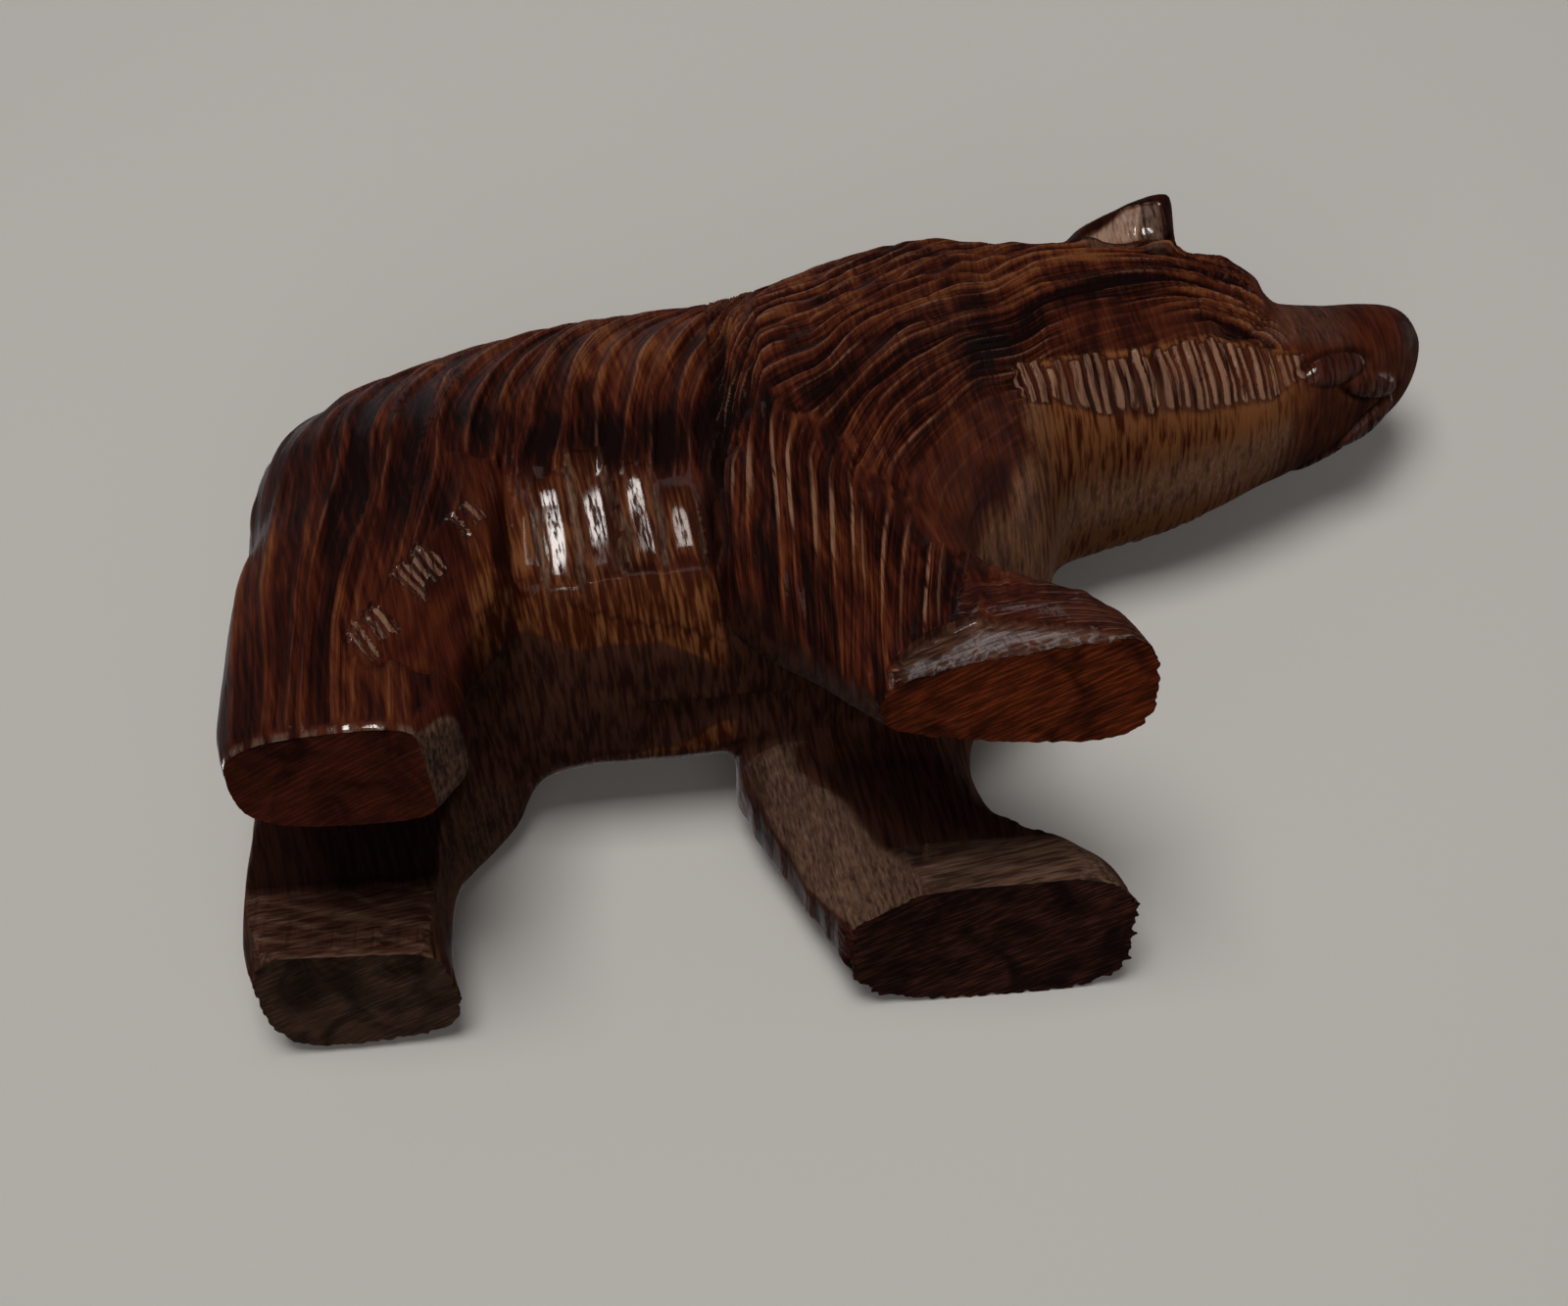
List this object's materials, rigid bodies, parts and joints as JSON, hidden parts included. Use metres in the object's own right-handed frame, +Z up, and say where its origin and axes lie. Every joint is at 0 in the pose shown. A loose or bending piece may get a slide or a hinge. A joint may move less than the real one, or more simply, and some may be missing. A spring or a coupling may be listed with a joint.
{
  "type": "carved bear figurine",
  "caption": "Small hand-carved walking bear in dark lacquered wood, with gouged fur, a humped back, a smooth muzzle and flat soles to stand on.",
  "frame": {"origin": "on the surface it stands on, under the middle of its bounding box", "axes": "+X towards the nose, +Y to the bear's left, +Z up, standing on its four soles"},
  "size_m": [0.1484, 0.0742, 0.0835],
  "materials": {
    "furred_wood": "dark red-brown stain under gloss lacquer, gouged fur, near black in the grooves"
  },
  "bodies": {
    "root": {"body": "furred_wood", "head": "furred_wood", "right_ear": "furred_wood", "left_ear": "furred_wood", "tail": "furred_wood", "right_foreleg": "furred_wood", "left_foreleg": "furred_wood", "right_hind_leg": "furred_wood", "left_hind_leg": "furred_wood"}
  },
  "joints": []
}
